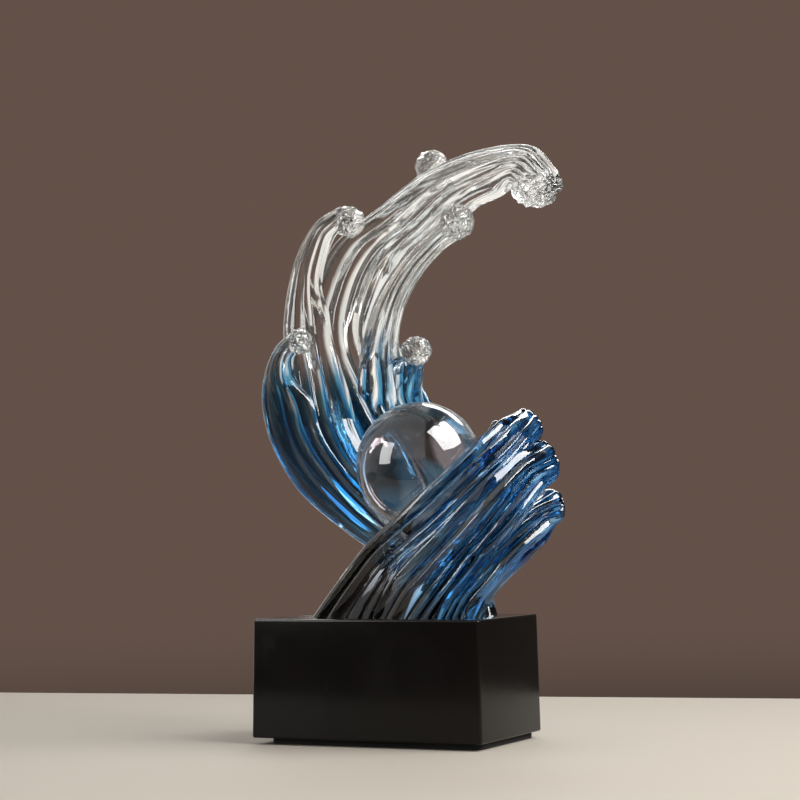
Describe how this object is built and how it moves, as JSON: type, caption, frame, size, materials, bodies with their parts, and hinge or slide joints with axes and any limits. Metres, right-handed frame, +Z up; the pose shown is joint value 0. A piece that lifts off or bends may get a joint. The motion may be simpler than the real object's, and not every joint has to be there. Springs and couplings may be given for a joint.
{
  "type": "resin wave sculpture",
  "caption": "Table ornament of two crossing cast resin waves, blue below and clear at the curled crest, cradling a glass ball above a black plinth.",
  "frame": {"origin": "under the middle of the plinth, at the underside of the base pad, on the surface that the sculpture stands on", "axes": "+Z up, +X along the long front of the plinth towards the side that the crest curls to, -Y out of the front"},
  "size_m": [0.1579, 0.0793, 0.2836],
  "materials": {
    "black_lacquer": "satin-gloss black lacquer on cast resin",
    "pad_foam": "matte black foam",
    "blue_resin": "polished blue clear-cast resin",
    "clear_resin": "polished clear-cast resin, blue in its lower half",
    "ball_glass": "polished clear glass",
    "steel": "zinc-plated steel",
    "brass": "turned brass"
  },
  "bodies": {
    "stand": {"base_pad": "pad_foam", "plinth": "black_lacquer", "front_wave": "blue_resin", "rear_wave": "clear_resin", "front_wave_screw_1": "steel", "front_wave_washer_1": "steel", "front_wave_insert_1": "brass", "front_wave_screw_2": "steel", "front_wave_washer_2": "steel", "front_wave_insert_2": "brass", "rear_wave_screw_1": "steel", "rear_wave_washer_1": "steel", "rear_wave_insert_1": "brass", "rear_wave_screw_2": "steel", "rear_wave_washer_2": "steel", "rear_wave_insert_2": "brass"},
    "ball": {"glass_ball": "ball_glass"}
  },
  "joints": [
    {"name": "ball_turn", "type": "hinge", "parent": "stand", "child": "ball", "pos_m": [0.0125, 0.002, 0.1284], "axis": [0, 0, 1], "continuous": true}
  ]
}
